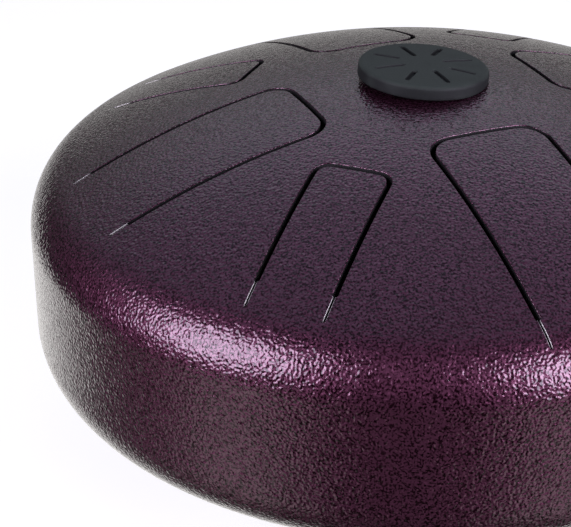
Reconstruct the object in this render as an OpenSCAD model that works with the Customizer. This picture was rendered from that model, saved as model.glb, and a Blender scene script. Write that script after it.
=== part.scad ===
// Steel tongue drum: two domed steel pressings welded rim to rim, with eight tongues cut
// out of the upper one, a rubber badge plugged into its centre and a rubber ring round the
// sound port underneath. Z is up, the drum's axis is Z and the ring's foot lies on Z = 0.

/* [Pressings] */
// Outer diameter of the drum
drum_d = 304.8; // [260:0.1:400]
// Thickness of the steel sheet
wall = 2.5; // [1.6:0.1:3.2]
// Outer radius of the crown, the gentle arc in the middle of each pressing
crown_r = 319; // [290:1:420]
// Distance from the axis at which the crown runs into the shoulder
crown_reach = 47.6; // [30:0.1:60]
// Outer radius of the shoulder, the longer arc outside the crown
shoulder_r = 294.4; // [240:0.1:330]
// Outer radius of the knuckle, the tight arc that turns down into the flange
knuckle_r = 24.3; // [16:0.1:32]
// Height of the straight flange, from the seam to the knuckle
flange_h = 19.4; // [12:0.1:30]

/* [Seam weld] */
// Gap between the two rims before welding
root_opening = 1; // [0.6:0.1:1.6]
// Part of the sheet's thickness that is left square at the rim
root_face = 0.8; // [0.4:0.1:1.2]
// Slope of the weld bevel, in degrees
bevel_angle = 30; // [20:1:40]
// Radius of the bead that comes through on the inside
inner_bead_r = 1.2; // [0.9:0.1:2]

/* [Tongues] */
// Direction of the first tongue seen from above, in degrees from X
first_tongue_angle = -108; // [-180:1:180]
// Width of a wide tongue, between the middles of its two side slots
wide_w = 46; // [38:0.1:50]
// Width of a narrow tongue, between the middles of its two side slots
narrow_w = 28; // [20:0.1:34]
// Distance from the axis to the slot at a wide tongue's tip
wide_tip = 48; // [46:0.1:56]
// Distance from the axis to the slot at a narrow tongue's tip
narrow_tip = 71.5; // [66:0.1:80]
// Corner radius of a wide tongue's slot, along its middle
wide_corner_r = 9.5; // [6:0.1:14]
// Corner radius of a narrow tongue's slot, along its middle
narrow_corner_r = 5.2; // [3:0.1:9]
// Width of the slot round each tongue
slot_w = 2; // [1.2:0.1:2.4]
// Width of the saw cuts that lengthen the two side slots to tune the tongue
tuning_cut_w = 0.8; // [0.6:0.1:1]

/* [Centre badge] */
// Diameter of the rubber badge
badge_d = 50.2; // [40:0.1:56]
// Height of the badge's edge
badge_t = 5.4; // [3.5:0.1:7]
// How far the middle of the badge stands above its edge
badge_crown = 0.6; // [0.3:0.1:1.2]
// Radius of the badge's upper edge
badge_edge_r = 1.8; // [0.8:0.1:2.4]
// Lean of the badge, in degrees: it is pushed in a little askew
badge_tilt = 4.1; // [1:0.1:5]
// Direction that it leans to seen from above, in degrees from X
badge_lean_angle = 28; // [-180:1:180]
// How far the middle of its underside would lie below the crown's top, had the rubber not
// given way to the steel
badge_press = 0.3; // [0:0.1:0.6]
// Diameter of the stem that passes through the head
stem_d = 16; // [12:0.1:20]
// Space round the stem in its hole
stem_play = 0.5; // [0.4:0.1:1]
// How far the lip under the head reaches out from the stem
lip_reach = 3; // [2:0.1:5]
// Height of that lip
lip_t = 3; // [2:0.1:4]
// Number of strokes sunk into the badge, one for each tongue
badge_strokes = 8; // [4:2:8]
// Width of a stroke
stroke_w = 1.8; // [1:0.1:2.2]
// Depth of a stroke
stroke_depth = 1.1; // [0.4:0.1:1.5]

/* [Base ring] */
// Diameter of the sound port in the lower pressing
port_d = 90; // [70:0.1:94]
// Thickness of rubber inside the port's edge
ring_web = 3; // [2:0.1:5]
// How far the foot reaches out under the pressing from the port's edge
foot_reach = 11; // [8:0.1:16]
// How far the inner lip reaches out over the sheet from the port's edge
ring_lip_reach = 6; // [4:0.1:10]
// Thickness of that inner lip where it is thinnest
ring_lip_t = 2.5; // [1.5:0.1:4]
// How far the foot stands below the pressing's lowest point
foot_drop = 3; // [2:0.1:8]
// Radius of the foot's lower edges
foot_edge_r = 2.2; // [1:0.1:3]

/* [Hidden] */
$fn = 96;
// Steps in a full circle for the gentle arcs, which only show a small part of one
gentle_fn = 720;

// Hairline that parts a tongue from the sheet along its root, so that the two can move
root_gap = 0.2;
// Space between rubber and steel
rubber_gap = 0.15;
// Overrun of every cut past the surface that it opens
cut = 1;

powder_coat = [0.24, 0.17, 0.25];
powder_coat_tongue = [0.30, 0.22, 0.31];
rubber = [0.16, 0.18, 0.18];

// Tongues: 1 is the narrow one at the front left, and the rest follow anticlockwise. The
// longest one has the lowest note. Shares of the drum's radius.
tongue_count = 8;
slot_end_shares = [0.832, 0.873, 0.800, 0.845, 0.812, 0.858, 0.781, 0.825];
tongue_root_shares = [0.900, 0.939, 0.855, 0.905, 0.868, 0.920, 0.834, 0.875];

drum_r = drum_d / 2;

// Three arcs and a flange, each tangent to the next. Angles are from the axis.
crown_a = asin(crown_reach / crown_r);
knuckle_cx = drum_r - knuckle_r;
knuckle_cz = flange_h;
shoulder_cx = crown_reach - shoulder_r * sin(crown_a);
shoulder_a = asin((knuckle_cx - shoulder_cx) / (shoulder_r - knuckle_r));
shoulder_cz = knuckle_cz - (shoulder_r - knuckle_r) * cos(shoulder_a);
crown_cz = shoulder_cz - (crown_r - shoulder_r) * cos(crown_a);
rise = crown_cz + crown_r;
seam_z = foot_drop + rise;
top_z = seam_z + rise;

badge_r = badge_d / 2;
stem_r = stem_d / 2;
lip_r = stem_r + lip_reach;
// From the badge's underside to the lip, which clears the sheet on its higher side
neck_l = wall + lip_r * tan(badge_tilt) + crown_sag(lip_r) + rubber_gap - badge_press;
stroke_in_shares = [0.44, 0.36];
stroke_out_share = 0.78;

port_r = port_d / 2;
ring_bore_r = port_r - ring_web;
foot_r = port_r + foot_reach;
ring_lip_r = port_r + ring_lip_reach;
ring_lip_top = foot_drop + wall + crown_sag(ring_lip_r) + ring_lip_t;
ring_lip_edge_r = ring_lip_t / 2.5;

// Depth of the crown's arc at distance x from the axis
function crown_sag(x) = crown_r - sqrt(crown_r * crown_r - x * x);

// Point on an arc round c, a degrees from the axis
function on_arc(c, r, a) = [c[0] + r * sin(a), c[1] + r * cos(a)];

function is_wide(i) = i % 2 == 0;
function tongue_angle(i) = first_tongue_angle + (i - 1) * 360 / tongue_count;
function slot_end(i) = slot_end_shares[i - 1] * drum_r;
function root(i) = tongue_root_shares[i - 1] * drum_r;

// What lies between the chord and the arc from angle a to angle b
module bulge(c, r, a, b) {
    intersection() {
        translate(c) circle(r, $fn = gentle_fn);
        polygon([on_arc(c, r, a), on_arc(c, r, b),
            on_arc(c, r + knuckle_r, b), on_arc(c, r + knuckle_r, a)]);
    }
}

// Half section of the closed dome above the seam, moved in from the outer surface by inset
module dome_section(inset) {
    crown_c = [0, crown_cz];
    shoulder_c = [shoulder_cx, shoulder_cz];
    knuckle_c = [knuckle_cx, knuckle_cz];
    polygon([[0, -cut], [drum_r - inset, -cut], on_arc(knuckle_c, knuckle_r - inset, 90),
        on_arc(knuckle_c, knuckle_r - inset, shoulder_a),
        on_arc(crown_c, crown_r - inset, crown_a), on_arc(crown_c, crown_r - inset, 0)]);
    bulge(crown_c, crown_r - inset, 0, crown_a);
    bulge(shoulder_c, shoulder_r - inset, crown_a, shoulder_a);
    bulge(knuckle_c, knuckle_r - inset, shoulder_a, 90);
}

// Half the weld groove and what lies below the seam's plane
module groove_section() {
    groove_h = root_opening / 2 + (wall - root_face) * tan(bevel_angle);
    polygon([[0, -2 * cut], [drum_r + cut, -2 * cut],
        [drum_r + cut, groove_h + cut * tan(bevel_angle)],
        [drum_r - wall + root_face, root_opening / 2], [0, root_opening / 2]]);
}

module sheet_section() {
    difference() {
        dome_section(0);
        dome_section(wall);
        groove_section();
    }
}

// One pressing with its seam on Z = 0, before anything is cut out of it
module pressing() {
    rotate_extrude() sheet_section();
}

// Outline of a tongue (side -1) or of the window round it (side 1), with the tongue's middle
// line along X and the slot's middle between the two
module tongue_plan(i, side) {
    tip = (is_wide(i) ? wide_tip : narrow_tip) - side * slot_w / 2;
    corner_r = (is_wide(i) ? wide_corner_r : narrow_corner_r) + side * slot_w / 2;
    middle = (is_wide(i) ? wide_w : narrow_w) / 2;
    half = middle + side * slot_w / 2;
    half_at_root = middle + side * tuning_cut_w / 2;
    end = root(i) - (side < 0 ? root_gap : 0);
    polygon([[tip, corner_r - half], [tip + corner_r, -half], [slot_end(i), -half],
        [slot_end(i), -half_at_root], [end, -half_at_root], [end, half_at_root],
        [slot_end(i), half_at_root], [slot_end(i), half],
        [tip + corner_r, half], [tip, half - corner_r]]);
    for (y = [corner_r - half, half - corner_r])
        translate([tip + corner_r, y]) circle(corner_r);
}

module tongue_prism(i, side) {
    rotate(tongue_angle(i)) translate([0, 0, -cut])
        linear_extrude(rise + 2 * cut) difference() {
            tongue_plan(i, side);
            if (side < 0) slot_ends(i);
        }
}

// The round ends of the two side slots
module slot_ends(i) {
    middle = (is_wide(i) ? wide_w : narrow_w) / 2;
    for (y = [-middle, middle])
        translate([slot_end(i), y]) circle(slot_w / 2);
}

module upper_shell() {
    color(powder_coat) translate([0, 0, seam_z]) difference() {
        pressing();
        for (i = [1 : tongue_count]) {
            tongue_prism(i, 1);
            rotate(tongue_angle(i)) linear_extrude(rise + cut) slot_ends(i);
        }
        linear_extrude(rise + cut) circle(stem_r + stem_play);
    }
}

module tongue(i) {
    color(powder_coat_tongue) translate([0, 0, seam_z]) intersection() {
        pressing();
        tongue_prism(i, -1);
    }
}

module lower_shell() {
    color(powder_coat) translate([0, 0, seam_z]) mirror([0, 0, 1]) difference() {
        pressing();
        linear_extrude(rise + cut) circle(port_r);
    }
}

module girth_weld() {
    groove_h = root_opening / 2 + (wall - root_face) * tan(bevel_angle);
    inner = drum_r - wall;
    color(powder_coat) translate([0, 0, seam_z]) rotate_extrude() {
        polygon([[inner, -root_opening / 2], [inner + root_face, -root_opening / 2],
            [drum_r, -groove_h], [drum_r, groove_h],
            [inner + root_face, root_opening / 2], [inner, root_opening / 2]]);
        intersection() {
            translate([inner, 0]) circle(inner_bead_r);
            translate([inner - 2 * inner_bead_r, -2 * inner_bead_r])
                square([2 * inner_bead_r, 4 * inner_bead_r]);
        }
    }
}

module badge_disc_section() {
    flat_r = badge_r - badge_edge_r;
    crown_arc_r = (flat_r * flat_r + badge_crown * badge_crown) / (2 * badge_crown);
    square([badge_r, badge_t - badge_edge_r]);
    square([flat_r, badge_t]);
    translate([flat_r, badge_t - badge_edge_r]) circle(badge_edge_r);
    intersection() {
        translate([0, badge_t + badge_crown - crown_arc_r])
            circle(crown_arc_r, $fn = gentle_fn);
        square([flat_r, badge_t + 2 * badge_crown]);
    }
}

module badge_stem_section() {
    translate([0, -neck_l]) square([stem_r, neck_l + badge_t / 2]);
    polygon([[0, -neck_l - lip_t], [stem_r, -neck_l - lip_t], [lip_r, -neck_l - lip_t / 3],
        [lip_r, -neck_l], [0, -neck_l]]);
}

// What the badge's underside gives way to: the crown and a hair over it, with Z = 0 at its top
module crown_pad() {
    reach = badge_r + 2 * cut;
    rotate_extrude() intersection() {
        translate([0, -crown_r]) circle(crown_r + rubber_gap, $fn = gentle_fn);
        translate([0, -badge_t]) square([reach, 2 * badge_t]);
    }
}

// Leans the badge's pieces, which are made upright
module lean() {
    rotate([0, 0, badge_lean_angle]) rotate([0, badge_tilt, 0])
        rotate([0, 0, -badge_lean_angle]) children();
}

// One stroke along X, long for a wide tongue and short for a narrow one
module stroke(i) {
    from = stroke_in_shares[i % 2] * badge_r;
    to = stroke_out_share * badge_r;
    translate([0, 0, badge_t - stroke_depth]) linear_extrude(stroke_depth + badge_crown + cut) {
        translate([from, -stroke_w / 2]) square([to - from, stroke_w]);
        for (x = [from, to])
            translate([x, 0]) circle(stroke_w / 2);
    }
}

module centre_badge() {
    color(rubber) translate([0, 0, top_z]) {
        difference() {
            translate([0, 0, -badge_press]) lean() difference() {
                rotate_extrude() badge_disc_section();
                for (i = [0 : badge_strokes - 1])
                    rotate(first_tongue_angle + i * 360 / badge_strokes) stroke(i);
            }
            crown_pad();
        }
        translate([0, 0, -badge_press]) lean() rotate_extrude() badge_stem_section();
    }
}

// Half section of the space inside the lower pressing, moved in from its outer surface
module lower_dome_section(inset) {
    translate([0, seam_z]) mirror([0, 1]) dome_section(inset);
}

module base_ring_section() {
    // foot, up to the sheet's outer surface
    difference() {
        union() {
            translate([ring_bore_r, foot_edge_r])
                square([foot_r - ring_bore_r, seam_z - foot_edge_r]);
            translate([ring_bore_r + foot_edge_r, 0])
                square([foot_r - ring_bore_r - 2 * foot_edge_r, foot_edge_r]);
            for (x = [ring_bore_r + foot_edge_r, foot_r - foot_edge_r])
                translate([x, foot_edge_r]) circle(foot_edge_r);
        }
        lower_dome_section(-rubber_gap);
    }
    // web, inside the port's edge
    translate([ring_bore_r, foot_drop])
        square([ring_web - rubber_gap, ring_lip_top - ring_lip_edge_r - foot_drop]);
    // inner lip, from the sheet's inner surface up
    intersection() {
        lower_dome_section(wall + rubber_gap);
        union() {
            translate([ring_bore_r, foot_drop])
                square([ring_lip_r - ring_bore_r, ring_lip_top - ring_lip_edge_r - foot_drop]);
            translate([ring_bore_r + ring_lip_edge_r, foot_drop])
                square([ring_lip_r - ring_bore_r - 2 * ring_lip_edge_r, ring_lip_top - foot_drop]);
            for (x = [ring_bore_r + ring_lip_edge_r, ring_lip_r - ring_lip_edge_r])
                translate([x, ring_lip_top - ring_lip_edge_r]) circle(ring_lip_edge_r);
        }
    }
}

module base_ring() {
    color(rubber) rotate_extrude() base_ring_section();
}

upper_shell();
lower_shell();
girth_weld();
tongue(1);  // tongue_1
tongue(2);  // tongue_2
tongue(3);  // tongue_3
tongue(4);  // tongue_4
tongue(5);  // tongue_5
tongue(6);  // tongue_6
tongue(7);  // tongue_7
tongue(8);  // tongue_8
centre_badge();
base_ring();
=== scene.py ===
# %% [markdown]
# # A steel tongue drum
# The real drum is two domed steel pressings, welded rim to rim and powder coated. Eight
# tongues are cut out of the upper one, and each rings when it is struck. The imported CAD
# model already has every piece in its place. Here each piece gets a smooth, dense skin and
# the finish that the eye expects of it.

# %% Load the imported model
import math

import bpy
import numpy as np
from mathutils import Matrix, Vector
from mathutils.geometry import delaunay_2d_cdt


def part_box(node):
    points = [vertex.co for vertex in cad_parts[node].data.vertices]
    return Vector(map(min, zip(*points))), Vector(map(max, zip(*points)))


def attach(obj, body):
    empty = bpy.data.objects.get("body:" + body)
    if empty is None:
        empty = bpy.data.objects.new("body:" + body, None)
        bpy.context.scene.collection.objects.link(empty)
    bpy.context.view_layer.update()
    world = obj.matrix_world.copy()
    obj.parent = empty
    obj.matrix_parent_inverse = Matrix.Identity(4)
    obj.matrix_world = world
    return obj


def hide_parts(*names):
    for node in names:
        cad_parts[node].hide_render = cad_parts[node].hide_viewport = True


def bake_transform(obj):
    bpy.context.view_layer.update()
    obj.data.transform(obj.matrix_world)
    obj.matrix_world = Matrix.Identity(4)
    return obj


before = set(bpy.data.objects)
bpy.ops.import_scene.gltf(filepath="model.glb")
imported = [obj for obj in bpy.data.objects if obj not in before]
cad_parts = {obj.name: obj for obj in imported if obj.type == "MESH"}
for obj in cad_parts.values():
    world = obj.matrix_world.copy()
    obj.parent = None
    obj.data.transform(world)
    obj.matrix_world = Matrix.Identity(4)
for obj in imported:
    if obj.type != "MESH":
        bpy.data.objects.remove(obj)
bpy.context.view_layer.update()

MM = 0.001
scene = bpy.context.scene

# %% [markdown]
# ## Camera
# The drum fills the picture and runs out of it at the right and at the bottom, so the camera
# stands close, 0.67 m from the crown, with a long lens. It looks down at the head by some 22
# degrees and leans by a degree or two, which makes the crown's line slope. The numbers come
# from fitting a camera to the drum's outline and slots, with the picture's middle as the
# middle of the lens.

# %% Camera
picture_width = 571
focal_length_px = 1740.5
lens = bpy.data.cameras.new("camera")
lens.sensor_width = 36
lens.lens = focal_length_px * lens.sensor_width / picture_width
lens.clip_end = 50
camera = bpy.data.objects.new("camera", lens)
camera.location = (0, -0.62374, 0.39895)
camera.rotation_euler = [math.radians(a) for a in (62.191, 0.133, 4.770)]
scene.collection.objects.link(camera)
scene.camera = camera
scene.view_settings.view_transform = "Standard"
print(f"Lens: {lens.lens:.1f} mm on a {lens.sensor_width:.0f} mm sensor")

# %% [markdown]
# ## Small tools for finishes
# A finish is a tree of nodes. One function adds a node with its settings and links, and one
# turns the sRGB hex colours, which are easy to pick and compare, into the linear numbers that
# the nodes take. The others add what nearly every finish needs: sums, a noise pattern, a ramp
# of colours and a ramp of numbers. Patterns use object coordinates. Every object's origin is
# the drum's, so a pattern runs on from the head into each tongue without a step.

# %% Node and colour tools
def linear(hex_colour):
    """An sRGB hex colour as linear red, green, blue and alpha."""
    srgb = [int(hex_colour[i : i + 2], 16) / 255 for i in (1, 3, 5)]
    return [c / 12.92 if c <= 0.04045 else ((c + 0.055) / 1.055) ** 2.4 for c in srgb] + [1]


def plug(tree, node, inputs):
    """Fills a node's inputs: a socket is linked, and anything else is set as the value."""
    for name, value in inputs.items():
        if isinstance(value, bpy.types.NodeSocket):
            tree.links.new(value, node.inputs[name])
        else:
            node.inputs[name].default_value = value


def add(tree, kind, inputs=None, **settings):
    """Adds a shader node with these inputs and settings."""
    made = tree.nodes.new("ShaderNode" + kind)
    for name, value in settings.items():
        setattr(made, name, value)
    plug(tree, made, inputs or {})
    return made


def number(tree, operation, *values):
    """One step of a sum with numbers."""
    return add(tree, "Math", dict(enumerate(values)), operation=operation).outputs[0]


def vector(tree, operation, *values, **more):
    """One step of a sum with vectors."""
    inputs = {**dict(enumerate(values)), **more}
    return add(tree, "VectorMath", inputs, operation=operation).outputs[0]


def noise(tree, where, size_mm, detail=0.0, **more):
    """A pattern of soft spots of about this size, from 0 to 1."""
    inputs = {"Vector": where, "Scale": 1 / (size_mm * MM), "Detail": detail, **more}
    return add(tree, "TexNoise", inputs).outputs["Fac"]


def colour_ramp(tree, value, *stops):
    """A colour that runs through (place, colour) stops as the value goes from 0 to 1."""
    made = add(tree, "ValToRGB", {"Fac": value})
    ramp = made.color_ramp.elements
    for i, (place, colour) in enumerate(stops):
        stop = ramp[i] if i < 2 else ramp.new(place)
        stop.position, stop.color = place, colour
    return made.outputs["Color"]


def remap(tree, value, start, end, low, high, kind="LINEAR"):
    """Goes from low to high as the value goes from start to end."""
    inputs = {"Value": value, "From Min": start, "From Max": end, "To Min": low, "To Max": high}
    return add(tree, "MapRange", inputs, interpolation_type=kind).outputs[0]


def mix(tree, share, first, second):
    """Goes from the first colour to the second as the share goes from 0 to 1."""
    return add(tree, "Mix", {0: share, 6: first, 7: second}, data_type="RGBA").outputs[2]


def new_finish(name):
    """An empty material: its node tree, its shader and the object's coordinates."""
    material = bpy.data.materials.new(name)
    material.use_nodes = True
    tree = material.node_tree
    return material, tree, tree.nodes["Principled BSDF"], add(tree, "TexCoord").outputs["Object"]


# %% [markdown]
# ## Powder coat on steel
# The drum is sprayed with a dry purple powder that melts in an oven. It doesn't flow out
# flat: it sets in a skin of soft blobs about 2 mm apart and a tenth of a millimetre high, with
# finer pits between them, on slower waves. Fine metal flakes lie under clear resin. So the
# finish is a purple, nearly metallic base under a glossy coat. The flakes give the magenta
# glow round each highlight, and the coat gives the lilac bands with their ridged edges and
# the pale rim where the eye skims the surface. Blobs are paler and greyer, pits a deep
# maroon, because the resin is thick there and mirrors little of the room.

# %% Powder coat
powder_coat, tree, shader, place = new_finish("powder_coat_on_steel")
blob_mm, wave_mm, pit_mm, cloud_mm = 1.05, 2.6, 0.8, 38.0
relief_mm, wave_share = 0.27, 0.3
bend_mm, bend_reach_mm = 2.4, 1.1
slope_step_mm = 0.1
pit_floor, pit_rim = 0.38, 0.56


def coat_height(where):
    """The blobs on slower, flatter waves, in blob heights."""
    waves, blobs = noise(tree, where, wave_mm), noise(tree, where, blob_mm)
    return number(tree, "MULTIPLY_ADD", waves, wave_share, blobs)


# A slower noise bends the blobs out of round
bend = add(tree, "TexNoise", {"Vector": place, "Scale": 1 / (bend_mm * MM), "Detail": 1.0})
bent = vector(tree, "MULTIPLY", bend.outputs["Color"], (bend_reach_mm * MM,) * 3)
moved = vector(tree, "ADD", place, bent)

# A Bump node compares heights a pixel apart, which flattens relief as fine as this, so the
# slope is measured over a fixed tenth of a millimetre along each axis instead
here = coat_height(moved)
slope = add(tree, "CombineXYZ")
for axis in range(3):
    beside = vector(tree, "ADD", moved, [slope_step_mm * MM * (k == axis) for k in range(3)])
    drop = number(tree, "SUBTRACT", here, coat_height(beside))
    tree.links.new(drop, slope.inputs[axis])
steep = vector(tree, "SCALE", slope.outputs[0], Scale=relief_mm / slope_step_mm)
tilted = vector(tree, "ADD", add(tree, "NewGeometry").outputs["Normal"], steep)
relief = vector(tree, "NORMALIZE", tilted)

# Resin pools in the pits, where it looks darker, and thins out between them
pits = noise(tree, moved, pit_mm, 1.0, Roughness=0.4)
depth = colour_ramp(tree, pits, (pit_floor, linear("#1f0610")), (pit_rim, linear("#683a50")))
cloud = noise(tree, place, cloud_mm, 2.0)
thin = remap(tree, cloud, 0.35, 0.7, 0.0, 0.35)

# The walls of a pit hide part of the room from it, so the coat mirrors less there, which a
# lower refractive index stands in for. Resin bends the light down to the flakes, so no light
# skims them, and a dark edge tint takes away the pale rim that bare metal has there.
coat = {
    "Base Color": mix(tree, thin, depth, linear("#452232")),
    "Metallic": 0.9,
    "Roughness": remap(tree, cloud, 0.3, 0.7, 0.40, 0.47),
    "Specular Tint": linear("#5a3a46"),
    "Normal": relief,
    "Coat Weight": 1.0,
    "Coat Roughness": 0.15,
    "Coat IOR": remap(tree, pits, pit_floor, pit_rim, 1.48, 1.6),
    "Coat Normal": relief,
}
plug(tree, shader, coat)
print(f"Powder coat: blobs {blob_mm} mm, relief {relief_mm} mm")

# %% [markdown]
# ## Sawn steel
# The maker tunes a tongue with a thin saw cut at the end of each side slot, after coating.
# The cut goes through the coat, so its walls are bare bright steel, rough enough to catch the
# light from any side, with fine marks across them. Metal has no colour of its own under the
# reflection, so the base colour is the reflection's.

# %% Sawn steel
def cut_steel(name, squash, size_mm, detail, stops, roughness, mark_mm, metallic):
    """Steel with fine marks; squash above 1 lays them flat and below 1 draws them upright."""
    material, tree, shader, place = new_finish(name)
    stretched = add(tree, "Mapping", {"Vector": place, "Scale": (1.0, 1.0, squash)})
    marks = noise(tree, stretched.outputs[0], size_mm, detail)
    bump = add(tree, "Bump", {"Strength": 0.6, "Distance": mark_mm * MM, "Height": marks})
    steel = {
        "Base Color": colour_ramp(tree, marks, *stops),
        "Metallic": metallic,
        "Roughness": remap(tree, marks, 0.3, 0.7, *roughness),
        "Normal": bump.outputs[0],
    }
    plug(tree, shader, steel)
    return material


bright_tones = (0.3, linear("#d3d0cb")), (0.7, linear("#f2efe9"))
sawn_steel = cut_steel(
    "sawn_bare_steel",
    squash=6.0,
    size_mm=0.9,
    detail=3.0,
    stops=bright_tones,
    roughness=(0.5, 0.68),
    mark_mm=0.02,
    metallic=1.0,
)

# %% [markdown]
# ## Bare steel inside
# The powder hardly reaches the inside of a closed drum. There the steel keeps its dull grey
# mill surface, with a bluish to brown tint near the weld. It shows through the sound port
# underneath.

# %% Mill steel
mill_steel, tree, shader, place = new_finish("mill_surface_steel")
clouding, grain = noise(tree, place, 22.0, 4.0), noise(tree, place, 0.6, 2.0)
mill_tones = (0.3, linear("#2c2a2d")), (0.55, linear("#3b3838")), (0.75, linear("#4a433f"))
rolled = add(tree, "Bump", {"Strength": 0.5, "Distance": 0.03 * MM, "Height": grain})
mill = {
    "Base Color": colour_ramp(tree, clouding, *mill_tones),
    "Metallic": 0.85,
    "Roughness": remap(tree, clouding, 0.3, 0.7, 0.5, 0.68),
    "Normal": rolled.outputs[0],
}
plug(tree, shader, mill)

# %% [markdown]
# ## Oxide and painted shade on the cut walls
# The slots are burnt out of the sheet with a hot cutter, which leaves a black oxide skin with
# fine upright striations on their walls. No powder settles in a gap as narrow as the sheet is
# thick. Their near-black is partly that oxide and partly painted shade, which makes a slot look
# black from above as its deep narrow gap does; the same finish is painted as shade on the lower
# part of each saw cut's bare steel wall. Oxide isn't a metal to the eye: it is a dull black
# mineral.

# %% Cut walls, with painted shade
# Near-black tones: real oxide, and painted shade in the slots and low in the saw cuts
oxide_and_shade_tones = (0.35, linear("#080607")), (0.7, linear("#110d0f"))
oxide_and_painted_shade = cut_steel(
    "black_oxide_and_painted_shade_on_cut_walls",
    squash=0.15,
    size_mm=0.5,
    detail=2.0,
    stops=oxide_and_shade_tones,
    roughness=(0.6, 0.8),
    mark_mm=0.03,
    metallic=0.0,
)

# %% [markdown]
# ## Moulded rubber
# The badge and the foot ring are moulded in a mould with a fine sand-blasted wall, which
# leaves rubber matt: a dark grey with a touch of green, a soft wide sheen and a grain too
# fine to see, here drawn at 0.35 mm so that it shows at all. Faces that look up are painted
# paler and the sides darker, as painted light and shade, over a cloudy tone that varies at
# random. The ring is the same compound with more carbon, so nearly black.

# %% Rubber
def moulded_rubber(name, dark, light):
    """Matt moulded rubber, with painted light on faces that look up and painted shade at the sides.
    """
    material, tree, shader, place = new_finish(name)
    sand, bloom = noise(tree, place, 0.35, 2.0), noise(tree, place, 9.0, 3.0)
    facing = add(tree, "SeparateXYZ", {0: add(tree, "NewGeometry").outputs["Normal"]})
    # Painted light and shade: faces that look up are made paler and the sides darker
    painted_top_light = remap(tree, facing.outputs["Z"], 0.2, 0.95, -0.15, 0.55)
    bloom_and_painted_top_light = number(tree, "ADD", bloom, painted_top_light)
    grain = add(tree, "Bump", {"Strength": 0.5, "Distance": 0.03 * MM, "Height": sand})
    rubber = {
        "Base Color": colour_ramp(tree, bloom_and_painted_top_light, (0.3, linear(dark)), (1.0, linear(light))),
        "Roughness": remap(tree, sand, 0.3, 0.7, 0.62, 0.78),
        "Specular IOR Level": 0.35,
        "Normal": grain.outputs[0],
    }
    plug(tree, shader, rubber)
    return material


badge_rubber = moulded_rubber("moulded_rubber_grey", "#0b0e0d", "#2b322d")
# A darker copy of the badge's rubber: painted shade for the sunk strokes
stroke_shade_rubber = moulded_rubber("moulded_rubber_painted_shade_in_strokes", "#0b0c0c", "#141716")
ring_rubber = moulded_rubber("moulded_rubber_black", "#171718", "#1e1e1f")

# %% [markdown]
# ## Skins
# Smooth pressed steel shows every facet in its highlights, so each piece is built from
# patches whose corners carry the exact direction of the true surface. The mesh can then be
# modest and still shade like a turned surface. A patch is a set of points, their outward
# directions and its faces. The builder joins patches where their points meet, turns each
# face to its outward side and drops the faces that have no area.

# %% Skin builder
def grid(rows, columns, closed):
    """The quads of a grid of points; a closed one joins its last column to its first."""
    column = np.arange(columns if closed else columns - 1)
    first = (np.arange(rows - 1)[:, None] * columns + column).ravel()
    following = (np.arange(rows - 1)[:, None] * columns + (column + 1) % columns).ravel()
    return np.stack([first, following, following + columns, first + columns], 1)


def join(points):
    """The first point at each place, and for every point which of those it becomes."""
    rounded = np.round(points * 1e4).astype(np.int64)
    _, first, same = np.unique(rounded, axis=0, return_index=True, return_inverse=True)
    return first, same.ravel()


def skin(name, patches, finishes):
    """Builds one piece from (points, directions, faces, finish number) patches, in mm."""
    starts = np.cumsum([0] + [len(p) for p, _, _, _ in patches])
    points = np.vstack([p for p, _, _, _ in patches])
    directions = np.vstack([d for _, d, _, _ in patches])
    directions /= np.linalg.norm(directions, axis=1)[:, None]
    first, same = join(points)
    faces, corners, numbers = [], [], []
    for (_, _, quads, which), start in zip(patches, starts):
        quads = quads + start
        across = np.cross(
            points[quads[:, 2]] - points[quads[:, 0]], points[quads[:, -1]] - points[quads[:, 1]]
        )
        inward = np.einsum("ij,ij->i", across, directions[quads].sum(1)) < 0
        quads[inward] = quads[inward, ::-1]
        for quad in quads.tolist():
            ring = [q for j, q in enumerate(quad) if same[q] != same[quad[j - 1]]]
            if len(ring) > 2:
                faces.append([int(same[q]) for q in ring])
                corners.extend(ring)
                numbers.append(which)
    mesh = bpy.data.meshes.new(name)
    mesh.from_pydata((points[first] * MM).tolist(), [], faces)
    mesh.polygons.foreach_set("material_index", numbers)
    mesh.shade_smooth()
    mesh.normals_split_custom_set(directions[corners].tolist())
    for finish in finishes:
        mesh.materials.append(finish)
    piece = bpy.data.objects.new(name, mesh)
    scene.collection.objects.link(piece)
    print(f"{name}: {len(mesh.vertices)} points, {len(mesh.polygons)} faces")
    return piece


# %% [markdown]
# ## The pressing's section
# A deep-drawn head isn't one arc. From the axis it has a flat crown, a slightly tighter
# shoulder and then a tight knuckle that turns down into a straight flange. Each arc runs into
# the next without a kink, because the press tool was turned that way. All heights are over
# the seam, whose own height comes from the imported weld.

# %% Section of a pressing
drum_r, wall = 152.4, 2.5
crown_r, crown_reach = 319.0, 47.6
shoulder_r, knuckle_r, flange_h = 294.4, 24.3, 19.4
crown_a = math.asin(crown_reach / crown_r)
knuckle_x = drum_r - knuckle_r
shoulder_x = crown_reach - shoulder_r * math.sin(crown_a)
shoulder_a = math.asin((knuckle_x - shoulder_x) / (shoulder_r - knuckle_r))
shoulder_z = flange_h - (shoulder_r - knuckle_r) * math.cos(shoulder_a)
crown_z = shoulder_z - (crown_r - shoulder_r) * math.cos(crown_a)
rise = crown_z + crown_r

# The edge that is welded has a flat land inside, a little clear of the seam, and then a bevel
land_w, land_gap, bevel_a = 0.8, 0.5, math.radians(30)
groove_h = land_gap + (wall - land_w) * math.tan(bevel_a)
inner_r = drum_r - wall
weld_low, weld_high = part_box("girth_weld")
seam_z = (weld_low.z + weld_high.z) / 2 / MM
print(f"Seam at {seam_z:.2f} mm, crown at {seam_z + rise:.2f} mm")


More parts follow.
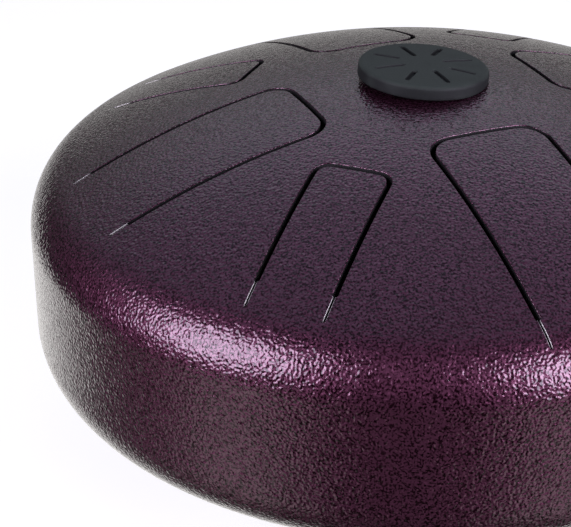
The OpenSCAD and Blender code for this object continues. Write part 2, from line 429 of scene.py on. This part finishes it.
def dome(r, inset=0.0):
    """Height and outward direction (out, up) of the pressing at distance r from the axis."""
    r = np.asarray(r, float)
    on_crown = r <= (crown_r - inset) * math.sin(crown_a)
    on_shoulder = r <= shoulder_x + (shoulder_r - inset) * math.sin(shoulder_a)
    where = [on_crown, on_shoulder]
    centre_x = np.select(where, [0.0, shoulder_x], knuckle_x)
    centre_z = np.select(where, [crown_z, shoulder_z], flange_h)
    radius = np.select(where, [crown_r, shoulder_r], knuckle_r) - inset
    out = (r - centre_x) / radius
    up = np.sqrt(np.clip(1 - out * out, 0, 1))
    return centre_z + radius * up, out, up


def lift(plan, inset=0.0):
    """Plan points brought up onto the pressing, with the surface's outward directions."""
    r = np.hypot(plan[:, 0], plan[:, 1])
    height, out, up = dome(r, inset)
    sideways = plan / np.maximum(r, 1e-9)[:, None]
    points = np.column_stack([plan, height + seam_z])
    return points, np.column_stack([sideways * out[:, None], up])


def turned(rows, count=360, flip=False):
    """A patch swept round the axis from rows of (r, z, out, up); flip hangs it below the seam."""
    rows = np.array(rows, float)
    angle = np.arange(count) * 2 * math.pi / count
    side = np.stack([np.cos(angle), np.sin(angle)], 1)
    sign = -1 if flip else 1
    points = np.zeros((len(rows), count, 3))
    directions = np.zeros_like(points)
    points[..., :2] = rows[:, 0, None, None] * side
    points[..., 2] = seam_z + sign * rows[:, 1, None]
    directions[..., :2] = rows[:, 2, None, None] * side
    directions[..., 2] = sign * rows[:, 3, None]
    return points.reshape(-1, 3), directions.reshape(-1, 3), grid(len(rows), count, True)


# %% [markdown]
# ## Tongue outlines
# A tongue stays part of the sheet: a 2 mm slot runs down one side, round the tip and back up
# the other side, and a 0.8 mm saw cut lengthens both side slots to tune it. Wide and narrow
# tongues take turns, and the longest has the lowest note. The outline is built from the root
# to the tip on one side and then mirrored. Each point keeps the direction that leads into
# the metal, because the rounded edge and the wall are made from it.

# %% Tongue outlines
slot_w, saw_w = 2.0, 0.8
wide = {"middle": 23.0, "tip": 48.0, "corner": 9.5}
narrow = {"middle": 14.0, "tip": 71.5, "corner": 5.2}
slot_end_shares = [0.832, 0.873, 0.800, 0.845, 0.812, 0.858, 0.781, 0.825]
root_shares = [0.900, 0.939, 0.855, 0.905, 0.868, 0.920, 0.834, 0.875]
# Tongue 1 is the narrow one in front, and the others follow counter-clockwise
tongue_angles = [math.radians(45 * k - 108.0) for k in range(8)]
step = 1.5
edge_round, sawn_round = 0.25, 0.12
INTO_HEAD, INTO_TONGUE = 1, -1


def outline(i, side):
    """Rows of (x, y, metal x, metal y, edge radius, sawn) round tongue i."""
    kind = wide if i % 2 == 0 else narrow
    root, slot_end = root_shares[i - 1] * drum_r, slot_end_shares[i - 1] * drum_r
    middle, half_saw, half_slot = kind["middle"], saw_w / 2, slot_w / 2
    tip, corner = kind["tip"] - side * half_slot, kind["corner"] + side * half_slot
    half = middle + side * half_slot
    meet = math.asin(half_saw / half_slot)
    rows = []

    saw_start = slot_end + half_slot * math.cos(meet)
    for n, x in enumerate(np.linspace(root, saw_start, 8)[:-1]):
        rows.append((x, middle + side * half_saw, 0, side, sawn_round * (n > 0), 1))
    for a in np.linspace(meet, math.pi / 2, 8):
        share = (a - meet) / (math.pi / 2 - meet)
        x, y = slot_end + half_slot * math.cos(a), middle + side * half_slot * math.sin(a)
        rounding = sawn_round + share * (edge_round - sawn_round)
        rows.append((x, y, math.cos(a), side * math.sin(a), rounding, share < 0.3))
    for x in np.linspace(slot_end, tip + corner, round((slot_end - tip) / step))[1:]:
        rows.append((x, half, 0, side, edge_round, 0))
    for a in np.linspace(math.pi / 2, math.pi, 12)[1:]:
        x, y = tip + corner + corner * math.cos(a), half - corner + corner * math.sin(a)
        rows.append((x, y, side * math.cos(a), side * math.sin(a), edge_round, 0))
    for y in np.linspace(half - corner, 0, round((half - corner) / step))[1:]:
        rows.append((tip, y, -side, 0, edge_round, 0))

    rows = np.array(rows, float)
    mirrored = rows * [1, -1, 1, -1, 1, 1]
    # Along the root both sides have the same points, so that head and tongue meet exactly
    joint = middle - half_saw
    y = np.linspace(joint, -joint, round(2 * joint / step))
    if side == INTO_HEAD:
        y = np.concatenate([[middle + half_saw], y, [-middle - half_saw]])
    sawn = np.abs(y) > joint + 0.01
    across = np.column_stack([np.full(len(y), root), y, np.full(len(y), side), 0 * y, 0 * y, sawn])
    return np.vstack([mirrored, rows[-2::-1], across])


def turn_plan(rows, i):
    """Outline rows turned from the tongue's own plane to its place on the drum."""
    a = tongue_angles[i - 1]
    turning =np.array([[math.cos(a), math.sin(a)], [-math.sin(a), math.cos(a)]])
    placed = rows.copy()
    placed[:, :2] = rows[:, :2] @ turning
    placed[:, 2:4] = rows[:, 2:4] @ turning
    return placed


print("Outline of the first tongue:", len(outline(1, INTO_TONGUE)), "points")

# %% [markdown]
# ## Sheet with cut-outs
# A cut edge has four surfaces: the outer skin, the rounded edge where the coat wraps round,
# the wall, painted near-black as oxide and as shade, and the inner skin. The skins have
# irregular outlines, so they are filled with triangles: Delaunay triangulation takes the
# outlines and a loose honeycomb of points between them. Everything lies on the section's exact
# surface, so the triangles don't show.

# %% Filling and edging the sheet
def inside(points, loop):
    """Which plan points lie within a closed loop."""
    x, y = points[:, 0, None], points[:, 1, None]
    x0, y0 = loop[:, 0], loop[:, 1]
    x1, y1 = np.roll(x0, -1), np.roll(y0, -1)
    with np.errstate(divide="ignore", invalid="ignore"):
        crossing = x0 + (y - y0) / (y1 - y0) * (x1 - x0)
    return (((y0 > y) != (y1 > y)) & (x < crossing)).sum(1) % 2 == 1


def fill(outer, holes, spacing=3.2):
    """Triangles between an outer loop and holes, with honeycomb points in between."""
    low, high = outer.min(0), outer.max(0)
    across, along = np.meshgrid(
        np.arange(low[0], high[0], spacing), np.arange(low[1], high[1], spacing * math.sqrt(3) / 2)
    )
    across[1::2] += spacing / 2
    comb = np.column_stack([across.ravel(), along.ravel()])
    comb = comb[inside(comb, outer)]
    for hole in holes:
        comb = comb[~inside(comb, hole)]
    edges = np.vstack([outer, *holes])
    gap = np.sqrt(((comb[:, None] - edges[None]) ** 2).sum(2)).min(1)
    comb = comb[gap > spacing * 0.45]

    given, lines, start = [], [], 0
    for loop in (outer, *holes):
        kept = loop[np.linalg.norm(loop - np.roll(loop, 1, 0), axis=1) > 1e-6]
        given.append(kept)
        lines += [(start + k, start + (k + 1) % len(kept)) for k in range(len(kept))]
        start += len(kept)
    plan = np.vstack([*given, comb])
    result = delaunay_2d_cdt([Vector(p) for p in plan], lines, [], 0, 1e-6, True)
    source = np.array([ids[0] if ids else -1 for ids in result[3]])
    if (source < 0).any():
        raise ValueError("the outlines of a sheet cross each other")
    triangles = source[np.array(result[2])]
    corner_a, corner_b, corner_c = (plan[triangles[:, k]] for k in range(3))
    b_side, c_side = corner_b - corner_a, corner_c - corner_a
    area = np.abs(b_side[:, 0] * c_side[:, 1] - b_side[:, 1] * c_side[:, 0]) / 2
    middle = plan[triangles].mean(1)
    # Points in one straight line can still make a triangle, with no area until it is lifted
    keep = inside(middle, outer) & (area > 1e-6)
    for hole in holes:
        keep &= ~inside(middle, hole)
    return plan, triangles[keep]


COAT, SAWN, MILL, OXIDE_AND_SHADE = 0, 1, 2, 3
# Below this depth a saw cut's wall is painted black as shade
inner_land, shade_start_depth = 0.5, 0.6


def edging(rows):
    """Rounded edge, wall and inner margin along placed outline rows, as patches."""
    plan, metal, rounding = rows[:, :2], rows[:, 2:4], rows[:, 4]
    gap_side = np.column_stack([-metal, np.zeros(len(rows))])
    rings, directions = [], []
    for turn in np.linspace(math.pi / 2, 0, 5):
        reach = rounding * (1 - math.cos(turn))
        sink = rounding * (1 - math.sin(turn))
        points, up = lift(plan + metal * reach[:, None])
        points[:, 2] -= sink
        rings.append(points)
        directions.append(gap_side * math.cos(turn) + up * math.sin(turn))
    count = len(rows)
    quads = grid(len(rings), count, True)
    sawn = rows[quads[:, 0] % count, 5] * rows[quads[:, 1] % count, 5] > 0
    edge = np.vstack(rings), np.vstack(directions)

    # Each wall is near-black, partly oxide and partly painted shade of the deep gap; a saw cut's
    # bare steel is bright only near its top, and below that it is painted black as shade
    shade_start_ring, _ = lift(plan)
    shade_start_ring[:, 2] -= shade_start_depth
    floor, _ = lift(plan, wall)
    facing, band = np.vstack([gap_side, gap_side]), grid(2, count, True)
    top_band, low_band = np.vstack([rings[-1], shade_start_ring]), np.vstack([shade_start_ring, floor])
    sawn_band = rows[band[:, 0] % count, 5] * rows[band[:, 1] % count, 5] > 0

    margin = np.where(rounding > 0, inner_land, 0)
    inner, down = lift(plan + metal * margin[:, None], wall)
    _, floor_down = lift(plan, wall)
    land = np.vstack([floor, inner]), -np.vstack([floor_down, down]), grid(2, count, True), MILL
    return [
        (*edge, quads[~sawn], COAT),
        (*edge, quads[sawn], SAWN),
        (top_band, facing, band[~sawn_band], OXIDE_AND_SHADE),
        (top_band, facing, band[sawn_band], SAWN),
        (low_band, facing, band, OXIDE_AND_SHADE),
        land,
    ]


def skins(outer, holes):
    """Outer and inner skin patches from placed outlines; outer and holes are outline rows."""

    def offset(rows, reach):
        return rows[:, :2] + rows[:, 2:4] * reach[:, None]

    made = []
    for inset, finish, sign in ((0.0, COAT, 1), (wall, MILL, -1)):
        loops = [
            offset(rows, np.where(rows[:, 4] > 0, inner_land, 0) if inset else rows[:, 4])
            for rows in (outer, *holes)
        ]
        plan, triangles = fill(loops[0], loops[1:])
        points, up = lift(plan, inset)
        made.append((points, sign * up, triangles, finish))
    return made


# %% [markdown]
# ## The eight tongues
# Each tongue is one closed skin, built in its place on the drum, and the imported tongue is
# hidden. A real tongue bends along its root as it sounds.

# %% Tongues
finishes = [powder_coat, sawn_steel, mill_steel, oxide_and_painted_shade]
for i in range(1, 9):
    rows = turn_plan(outline(i, INTO_TONGUE), i)
    tongue = skin(f"tongue_{i}_skin", [*skins(rows, []), *edging(rows)], finishes)
    a, root = tongue_angles[i - 1], root_shares[i - 1] * drum_r
    height = (seam_z + float(dome(root)[0]) - wall / 2) * MM
    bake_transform(tongue)
    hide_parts(f"tongue_{i}")

# %% [markdown]
# ## The head
# The head is the upper pressing with eight windows and the hole for the badge's stem. Out to
# the last root it is filled like the tongues. Outside that circle it is a plain turned
# shape: knuckle, flange, the bevel for the weld, and back up inside.

# %% Head
fill_r = 146.0
stem_hole_r, stem_hole_round = 8.5, 0.3


def circle(r, metal, rounding, count=360):
    """Outline rows of a circle about the axis; metal is 1 where the sheet lies outside it."""
    angles = np.arange(count) * 2 * math.pi / count
    side = np.column_stack([np.cos(angles), np.sin(angles)])
    rest = np.column_stack([np.full(count, rounding), np.zeros(count)])
    return np.hstack([side * r, side * metal, rest])


def knuckle(radius, start, end, count, sign=1):
    """Section rows round the knuckle, angles from the axis; sign -1 is the inner surface."""
    return [
        (knuckle_x + radius * s, flange_h + radius * c, sign * s, sign * c)
        for s, c in ((math.sin(t), math.cos(t)) for t in np.linspace(start, end, count))
    ]


def rim(start_r):
    """Turned patches from a circle on the outer surface, round the rim and back inside."""
    inner_knuckle = knuckle_r - wall
    start = math.asin((start_r - knuckle_x) / knuckle_r)
    finish = math.asin((start_r - knuckle_x) / inner_knuckle)
    outside = knuckle(knuckle_r, start, math.pi / 2, 14)
    outside += [(drum_r, z, 1, 0) for z in np.linspace(flange_h, groove_h, 6)[1:]]
    bevel = (math.sin(bevel_a), -math.cos(bevel_a))
    groove = [(drum_r, groove_h, *bevel), (inner_r + land_w, land_gap, *bevel)]
    face = [(inner_r + land_w, land_gap, 0, -1), (inner_r, land_gap, 0, -1)]
    inward = [(inner_r, z, -1, 0) for z in np.linspace(land_gap, flange_h, 4)]
    inward += knuckle(inner_knuckle, math.pi / 2, finish, 12, -1)[1:]
    return [(outside, COAT), (groove, MILL), (face, MILL), (inward, MILL)]


windows = [turn_plan(outline(i, INTO_HEAD), i) for i in range(1, 9)]
stem_hole = circle(stem_hole_r, 1, stem_hole_round)
outer_circle = circle(fill_r, -1, 0.0)
patches = skins(outer_circle, [*windows, stem_hole])
for rows in (*windows, stem_hole):
    patches += edging(rows)
patches += [(*turned(rows), finish) for rows, finish in rim(fill_r)]
head = skin("head_skin", patches, finishes)
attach(head, "drum")
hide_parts("upper_shell")

# %% [markdown]
# ## The lower pressing
# It comes from the same press tool as the head, turned over, with one round sound port. It
# has no other cut-outs, so the whole of it is turned. The port's edge is broken by hand and
# hidden in the rubber ring.

# %% Lower pressing
port_r, port_round = 45.0, 0.4
start_r = 136.0


def surface_rows(distances, inset=0.0, sign=1):
    """Section rows of the pressing's surface at these distances from the axis."""
    height, out, up = dome(distances, inset)
    return [(r, z, sign * o, sign * u) for r, z, o, u in zip(distances, height, out, up)]


port_top, port_floor = float(dome(port_r)[0]), float(dome(port_r, wall)[0])
edge = [
    (port_r + port_round * (1 - c), port_top - port_round * (1 - s), -c, s)
    for s, c in ((math.sin(t), math.cos(t)) for t in np.linspace(0, math.pi / 2, 5))
]
port_wall = [(port_r, port_floor, -1, 0), (port_r, port_top - port_round, -1, 0)]
outer_rows = surface_rows(np.linspace(port_r + port_round, start_r, 34))
inner_rows = surface_rows(np.linspace(port_r, start_r, 34), wall, -1)
patches = [
    (*turned(rows, flip=True), finish)
    for rows, finish in [
        (port_wall, COAT), (edge, COAT), (outer_rows, COAT), *rim(start_r), (inner_rows, MILL)
    ]
]
lower = skin("lower_pressing_skin", patches, finishes)
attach(lower, "drum")
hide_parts("lower_shell")

# %% [markdown]
# ## The seam weld
# Outside, the weld is ground flush and coated over, so it shows as nothing. Inside, the root
# comes through as a bead with the small overlapping ripples of each melted drop. It can only
# be seen through the port, but it is there for whoever turns the drum over.

# %% Seam weld
bead_r, ripple_mm, ripple_depth, ripple_lag = 1.2, 2.6, 0.14, 0.35
band = [(drum_r, z, 1, 0) for z in np.linspace(-groove_h, groove_h, 3)]
bevel_up = (-math.sin(bevel_a), math.cos(bevel_a))
upper_side = [(drum_r, groove_h, *bevel_up), (inner_r + land_w, land_gap, *bevel_up)]
upper_face = [(inner_r + land_w, land_gap, 0, 1), (inner_r, land_gap, 0, 1)]
lower_side = [(r, -z, out, -up) for r, z, out, up in upper_side]
lower_face = [(r, -z, out, -up) for r, z, out, up in upper_face]
patches = [(*turned(band), 0)]
patches += [(*turned(rows), 1) for rows in (upper_side, upper_face, lower_side, lower_face)]

# Each ripple swells slowly and ends at once, on a line that curves across the bead
ripples = round(2 * math.pi * inner_r / ripple_mm)
count = ripples * 6
bead_turns = np.linspace(0.05, math.pi - 0.05, 9)
bead_rows = [
    (inner_r - bead_r * math.sin(t), bead_r * math.cos(t), -math.sin(t), math.cos(t))
    for t in bead_turns
]
points, directions, quads = turned(bead_rows, count)
around = np.tile(np.arange(count) / count * ripples, len(bead_rows))
bulge = np.repeat(np.sin(bead_turns), count)
swell = ripple_depth * bulge * ((around + bulge * ripple_lag) % 1.0)
radial = np.hypot(points[:, 0], points[:, 1])
points[:, :2] *= (1 + swell / radial)[:, None]
patches.append((points, directions, quads, 1))
weld = skin("seam_weld_skin", patches, [powder_coat, mill_steel])
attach(weld, "drum")
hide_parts("girth_weld")

# %% [markdown]
# ## The centre badge
# A thick rubber disc with a soft edge sits in the middle of the head. Its stem goes through
# a hole, and a lip under the sheet holds it. It was pushed in a little askew, so it leans to
# the right and back, and there its underside gives way to the steel. Its top has eight plain
# sunk strokes, one for each tongue, long for a wide one and short for a narrow one. Rubber
# never comes out of a mould with a sharp edge, so the strokes are pressed into the surface
# with rounded shoulders rather than cut out.

# %% Badge section
badge_r, badge_t, badge_crown, badge_edge = 25.1, 5.4, 0.6, 1.8
badge_tilt, badge_lean, badge_press = math.radians(4.1), math.radians(28), 0.3
stem_r, lip_r, lip_t, rubber_gap = 8.0, 11.0, 3.0, 0.15
low_round, neck_round, lip_corner = 0.45, 0.4, 0.3
plain_r = 7.0


def crown_sag(r):
    """How far the crown has fallen at distance r from the axis."""
    return crown_r - np.sqrt(crown_r**2 - r**2)


def badge_top(r):
    """Height of the badge's domed top over its underside."""
    return badge_t + badge_crown - arc_r + math.sqrt(arc_r**2 - r**2)


neck = wall + lip_r * math.tan(badge_tilt) + crown_sag(lip_r) + rubber_gap - badge_press
flat_r = badge_r - badge_edge
arc_r = (flat_r**2 + badge_crown**2) / (2 * badge_crown)

# From the middle of the top over the edge, down the side and in to the stem, as (r, height)
section = [(r, badge_top(r)) for r in np.linspace(0, plain_r, 8)]
section += [(r, badge_top(r)) for r in np.linspace(plain_r, flat_r, 66)[1:]]
section += [
    (flat_r + badge_edge * math.sin(t), badge_t - badge_edge + badge_edge * math.cos(t))
    for t in np.linspace(0.12, math.pi / 2, 10)
]
side_rows = len(section)
section += [(badge_r, 2.6), (badge_r, 1.4), (badge_r, low_round), (badge_r - 0.12, 0.12)]
section += [(r, 0) for r in (badge_r - low_round, 21, 16, 12, stem_r + 0.5)]

# The stem goes down through the sheet, and the lip under it tapers so that it can be pushed in
stem_rows = len(section)
section += [(stem_r, -neck_round), (stem_r, lip_corner - neck), (stem_r + neck_round, -neck)]
section += [(lip_r - lip_corner, -neck), (lip_r, -neck - lip_corner), (lip_r, -neck - lip_t / 3)]
section += [(stem_r + 0.4, -neck - lip_t + 0.25), (stem_r - 0.5, -neck - lip_t), (0, -neck - lip_t)]
section = np.array(section)

# %% Badge strokes
stroke_w, stroke_depth, shoulder = 1.8, 1.1, 0.3
short_start, long_start, stroke_end = 0.44, 0.36, 0.78
fine_reach, fine_step, coarse_step = 8.5, 0.35, 2.8
top_depth, sunk_share = 0.6, 0.2

# The columns of points are close together across a stroke and far apart between two
fine = np.arange(-fine_reach, fine_reach, fine_step)
coarse = np.arange(fine_reach, 45 - fine_reach, coarse_step)
near = np.radians(np.concatenate([fine, coarse]))
badge_angles = np.concatenate([a + near for a in tongue_angles])
side = np.column_stack([np.cos(badge_angles), np.sin(badge_angles)])
points = np.zeros((len(section), len(badge_angles), 3))
points[..., :2] = section[:, 0, None, None] * side
points[..., 2] = section[:, 1, None]
dip = np.zeros(points.shape[:2])
for k, a in enumerate(tongue_angles):
    along = points[..., 0] * math.cos(a) + points[..., 1] * math.sin(a)
    beside = points[..., 1] * math.cos(a) - points[..., 0] * math.sin(a)
    start, end = (long_start if k % 2 else short_start) * badge_r, stroke_end * badge_r
    away = np.hypot(along - np.clip(along, start, end), beside) - stroke_w / 2
    share = np.clip((shoulder - away) / (2 * shoulder), 0, 1)
    dip = np.maximum(dip, stroke_depth * share * share * (3 - 2 * share))
# Only the top sinks; the side of the badge keeps its shape
dip *= (section[:, 1] > badge_t - top_depth)[:, None]
points[..., 2] -= dip

# %% Badge in its place
upright = Matrix.Rotation(badge_lean, 3, "Z")
lean = np.array(upright @ Matrix.Rotation(badge_tilt, 3, "Y") @ upright.transposed())
placed = points @ lean.T
placed[..., 2] += seam_z + rise - badge_press
# Where the disc would reach into the steel it gives way, its side by as much as its rim
clear = seam_z + rise - crown_sag(np.hypot(placed[..., 0], placed[..., 1])) + rubber_gap
squash = np.maximum(clear - placed[..., 2], 0)
squash[side_rows : side_rows + 4] = squash[side_rows + 4]
squash[side_rows] /= 2
squash[stem_rows:] = 0
squash[:side_rows] = 0
placed[..., 2] += squash

mesh = bpy.data.meshes.new("centre_badge_skin")
faces = grid(len(section), len(badge_angles), True)
flat = placed.reshape(-1, 3)
# Faces deep in the strokes get the darker rubber, painted shade in the sunk strokes
sunk = (dip > sunk_share * stroke_depth).ravel()[faces].all(1)
first, same = join(flat)
rings = [[v for j, v in enumerate(f) if v != f[j - 1]] for f in same[faces[:, ::-1]].tolist()]
kept = [k for k, ring in enumerate(rings) if len(ring) > 2]
mesh.from_pydata((flat[first] * MM).tolist(), [], [rings[k] for k in kept])
mesh.polygons.foreach_set("material_index", sunk[kept].astype(int).tolist())
mesh.shade_smooth()
mesh.materials.append(badge_rubber)
mesh.materials.append(stroke_shade_rubber)
badge = bpy.data.objects.new("centre_badge_skin", mesh)
scene.collection.objects.link(badge)
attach(badge, "drum")
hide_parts("centre_badge")
print(f"Badge: {len(mesh.polygons)} faces, {int(sunk.sum())} of them in the strokes")

# %% [markdown]
# ## The foot ring
# A rubber grommet grips the edge of the sound port, keeps the drum from sliding and leaves
# the port open. It is one turned moulding: a foot below, a web through the port and a lip
# inside. The mould closed at half the foot's height, and there it left a fine flash line.

# %% Foot ring
bore_r, foot_r, foot_h, foot_round = 42.0, 56.0, 3.0, 2.2
lip_out, lip_height, lip_round = 51.0, 2.5, 1.0
web_r = port_r - rubber_gap
lip_top = foot_h + wall + crown_sag(lip_out) + lip_height


def under(r, inset):
    """Height over the floor of the lower pressing's surface at distance r."""
    return seam_z - float(dome(r, inset)[0])


def corner(x, z, radius, start, end, count=7):
    """Section rows round a convex corner, angles from straight down."""
    return [
        (x + radius * math.sin(t), z - radius * math.cos(t), math.sin(t), -math.cos(t))
        for t in np.radians(np.linspace(start, end, count))
    ]


flash_z, flash, flash_half = 3.1, 0.12, 0.15
land_up, land_down = (0.12, 0.99), (-0.1, -0.99)
low_gap, high_gap = -rubber_gap, wall + rubber_gap
outer_side = [(foot_r, foot_round), (foot_r, flash_z - flash_half), (foot_r + flash, flash_z)]
outer_side += [(foot_r, flash_z + flash_half), (foot_r, under(foot_r, low_gap))]
outer_side = [(*point, 1, 0) for point in outer_side]
upper_land = [(r, under(r, low_gap), *land_up) for r in np.linspace(foot_r, web_r, 5)]
web = [(web_r, under(web_r, gap), 1, 0) for gap in (low_gap, high_gap)]
lip_land = [(r, under(r, high_gap), *land_down) for r in np.linspace(web_r, lip_out, 5)]
lip_side = [(lip_out, z, 1, 0) for z in (under(lip_out, high_gap), lip_top - lip_round)]
lip_edge = corner(lip_out - lip_round, lip_top - lip_round, lip_round, 90, 180)
lip_over = [(lip_out - lip_round, lip_top, 0, 1), (bore_r + lip_round, lip_top, 0, 1)]
bore_edge = corner(bore_r + lip_round, lip_top - lip_round, lip_round, 180, 270)
bore = [(bore_r, z, -1, 0) for z in np.linspace(lip_top - lip_round, foot_round, 4)]
foot_inner = corner(bore_r + foot_round, foot_round, foot_round, 270, 360)
sole = [(bore_r + foot_round, 0, 0, -1), (foot_r - foot_round, 0, 0, -1)]
foot_outer = corner(foot_r - foot_round, foot_round, foot_round, 0, 90)
patches = []
for rows in (
    foot_outer, outer_side, upper_land, web, lip_land, lip_side,
    lip_edge, lip_over, bore_edge, bore, foot_inner, sole,
):
    over_seam = [(r, z - seam_z, out, up) for r, z, out, up in rows]
    patches.append((*turned(over_seam, 240), 0))
ring = skin("foot_ring_skin", patches, [ring_rubber])
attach(ring, "drum")
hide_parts("base_ring")

# %% [markdown]
# ## Studio
# Product pictures like this one are taken on a white, lit table. Two softboxes stand in
# front, one to the left and one to the right, at a bit less than 20 degrees above the table:
# their reflections make the two lilac bands on the shoulder, with a dark part between them.
# The ceiling is dim in front, so the head stays dark, and bright at the back, so the far
# side of the head turns grey. The table doesn't show in the coat: in the photograph it
# doesn't brighten the drum from below, so the surroundings have a floor of their own.

# %% Table
mesh = bpy.data.meshes.new("table")
mesh.from_pydata([(-4, -4, 0), (4, -4, 0), (4, 4, 0), (-4, 4, 0)], [], [(0, 1, 2, 3)])
table_finish, tree, shader, place = new_finish("white_table_with_painted_shadow")
drift = add(tree, "TexNoise", {"Vector": place, "Scale": 3.0, "Detail": 2.0}).outputs["Fac"]
# The table's glow fades out under the drum: a painted contact shadow where the drum stands
from_axis = add(tree, "VectorMath", {0: place}, operation="LENGTH").outputs["Value"]
table_glow_with_painted_shadow = {
    "Base Color": colour_ramp(tree, drift, (0.3, linear("#b4b4b4")), (0.7, linear("#bababa"))),
    "Roughness": 0.8,
    "Emission Color": (1, 1, 1, 1),
    "Emission Strength": remap(tree, from_axis, 0.045, 0.10, 0.0, 0.75, "SMOOTHSTEP"),
}
plug(tree, shader, table_glow_with_painted_shadow)
mesh.materials.append(table_finish)
table = bpy.data.objects.new("table", mesh)
scene.collection.objects.link(table)
table.visible_glossy = False

# %% Softboxes
aim = Vector((0, 0, 0.09))


def softbox(name, azimuth, elevation, distance, size, watts):
    """A rectangular light that faces the drum; azimuth 0 is in front and 90 at the right."""
    light = bpy.data.lights.new(name, "AREA")
    light.shape = "RECTANGLE"
    light.size, light.size_y, light.energy = *size, watts
    light.color = (0.85, 0.80, 1.0)
    lamp = bpy.data.objects.new(name, light)
    a, e = math.radians(azimuth), math.radians(elevation)
    away = Vector((math.sin(a) * math.cos(e), -math.cos(a) * math.cos(e), math.sin(e)))
    lamp.location = away * distance + aim
    lamp.rotation_euler = away.to_track_quat("Z", "Y").to_euler()
    scene.collection.objects.link(lamp)


softbox("softbox_left", -51.5, 19, 1.3, (0.83, 0.90), 18.5)
softbox("softbox_right", 58, 17, 1.3, (1.08, 0.90), 28)

# %% Surroundings
room = bpy.data.worlds.new("studio")
room.use_nodes = True
scene.world = room
tree = room.node_tree
parts = add(tree, "SeparateXYZ", {0: add(tree, "TexCoord").outputs["Generated"]})
x, y, z = (parts.outputs[axis] for axis in "XYZ")


def blend(value, start, end, low, high):
    """Goes smoothly from low to high as a direction's coordinate goes from start to end."""
    return remap(tree, value, start, end, low, high, "SMOOTHSTEP")


# A pale ceiling at the back, darker overhead, at the sides and low down
sideways = number(tree, "ABSOLUTE", x)
front, overhead_front = (0.0, (0.11, 0.12, 0.165, 1)), (0.2, (0.25, 0.275, 0.37, 1))
overhead_back, back = (0.5, (0.33, 0.36, 0.47, 1)), (0.85, (0.70, 0.765, 0.92, 1))
overhead = colour_ramp(tree, y, front, overhead_front, overhead_back, back)
at_sides, low_down = blend(sideways, 0.3, 0.7, 1.0, 0.45), blend(z, 0.15, 0.5, 0.22, 1.0)
dimmed = number(tree, "MULTIPLY", at_sides, low_down)
dimmed = number(tree, "MULTIPLY", dimmed, blend(y, -0.5, 0.0, 0.3, 1.0))
warmth = mix(tree, blend(z, 0.2, 0.6, 1.0, 0.0), (1, 1, 1, 1), (1.15, 1.08, 0.88, 1))
ceiling = vector(tree, "SCALE", vector(tree, "MULTIPLY", overhead, warmth), Scale=dimmed)

# The floor is pale behind the drum and in a patch at the front on either side
plan = add(tree, "CombineXYZ", {"X": sideways, "Y": y}).outputs[0]
from_patch = add(tree, "VectorMath", {0: plan, 1: (0.62, -0.48, 0)}, operation="DISTANCE")
patch = remap(tree, from_patch.outputs["Value"], 0.1, 0.40, 0.8, 0.0)
near_back, far_back = blend(y, -0.15, 0.45, 0.02, 0.4), blend(y, 0.3, 0.58, 0.0, 1.0)
behind = number(tree, "ADD", near_back, far_back)
behind = number(tree, "MULTIPLY", behind, blend(y, 0.75, 0.97, 1.0, 0.38))
glow = number(tree, "MAXIMUM", behind, patch)
pale_floor = vector(tree, "SCALE", (1.02, 1.0, 0.98), Scale=glow)

# The pale floor ends well below the horizon at the sides, and at the horizon behind
floor_edge = blend(y, 0.6, 0.98, -0.40, -0.02)
underfoot = blend(number(tree, "SUBTRACT", z, floor_edge), -0.05, 0.05, 1.0, 0.0)
backdrop = {"Color": mix(tree, underfoot, ceiling, pale_floor), "Strength": 1.0}
plug(tree, tree.nodes["Background"], backdrop)
